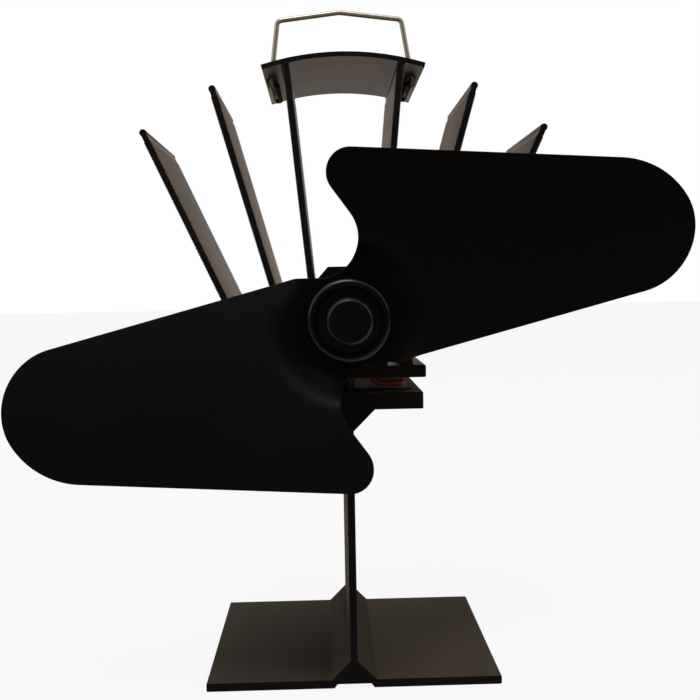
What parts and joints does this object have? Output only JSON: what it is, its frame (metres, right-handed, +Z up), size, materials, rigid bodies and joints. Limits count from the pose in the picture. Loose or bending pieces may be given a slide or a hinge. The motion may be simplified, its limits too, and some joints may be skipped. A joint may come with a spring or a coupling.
{
  "type": "stove fan",
  "caption": "Heat-powered stove fan: finned heat sink on an I-shaped stand, motor in its ring, curved paddle blade and bent wire handle.",
  "frame": {"origin": "on the underside of the foot plate, under the middle of the whole fan's outline in plan", "axes": "+X to the viewer's right, +Y from the blade towards the back, +Z up"},
  "size_m": [0.2184, 0.1162, 0.2297],
  "materials": {
    "anodised": "black anodised, satin",
    "painted": "black heat-proof paint, satin",
    "wire": "bright spring steel",
    "zinc": "zinc plated",
    "black_steel": "black oxide",
    "ceramic": "matt white alumina",
    "pellets": "rows of dark semiconductor pellets",
    "seal": "white silicone",
    "graphite": "graphite foil",
    "fibre": "heat-proof fibre",
    "motor_steel": "nickel plated",
    "cap": "moulded",
    "bronze": "sintered bronze",
    "ferrite": "ferrite magnet",
    "copper": "enamelled copper on steel",
    "brass": "tinned brass",
    "red_lead": "silicone sleeve, satin",
    "black_lead": "silicone sleeve, satin",
    "bimetal": "bare"
  },
  "bodies": {
    "fan_body": {"base_stand": "anodised", "strip_rivet": "zinc", "thermal_sheet_lower": "graphite", "module_ceramic_hot": "ceramic", "module_pellets": "pellets", "module_seal": "seal", "module_ceramic_cold": "ceramic", "thermal_sheet_upper": "graphite", "heat_sink": "anodised", "carry_handle": "wire", "clamp_screw_front": "black_steel", "spring_washer_front": "zinc", "insulating_bush_front": "fibre", "clamp_screw_rear": "black_steel", "spring_washer_rear": "zinc", "insulating_bush_rear": "fibre", "motor_can": "motor_steel", "motor_bush_front": "bronze", "motor_magnet": "ferrite", "motor_end_cap": "cap", "motor_bush_rear": "bronze", "terminal_red": "brass", "terminal_black": "brass", "motor_grub_screw": "black_steel", "lead_red": "red_lead", "lead_black": "black_lead"},
    "rotor": {"motor_shaft": "zinc", "motor_armature": "copper", "motor_commutator": "copper", "blade_hub": "painted", "hub_set_screw": "black_steel", "fan_blade": "painted", "blade_backing_ring": "painted"},
    "strip": {"safety_strip": "bimetal"}
  },
  "joints": [
    {"name": "blade_spin", "type": "hinge", "parent": "fan_body", "child": "rotor", "pos_m": [0, -0.02786, 0.1248], "axis": [0, 1, 0], "continuous": true},
    {"name": "strip_flex", "type": "hinge", "parent": "fan_body", "child": "strip", "pos_m": [0, 0.02914, 0.00095], "axis": [1, 0, 0], "range_deg": [0, 1.5], "stiffness_Nm_per_rad": 1.5}
  ]
}
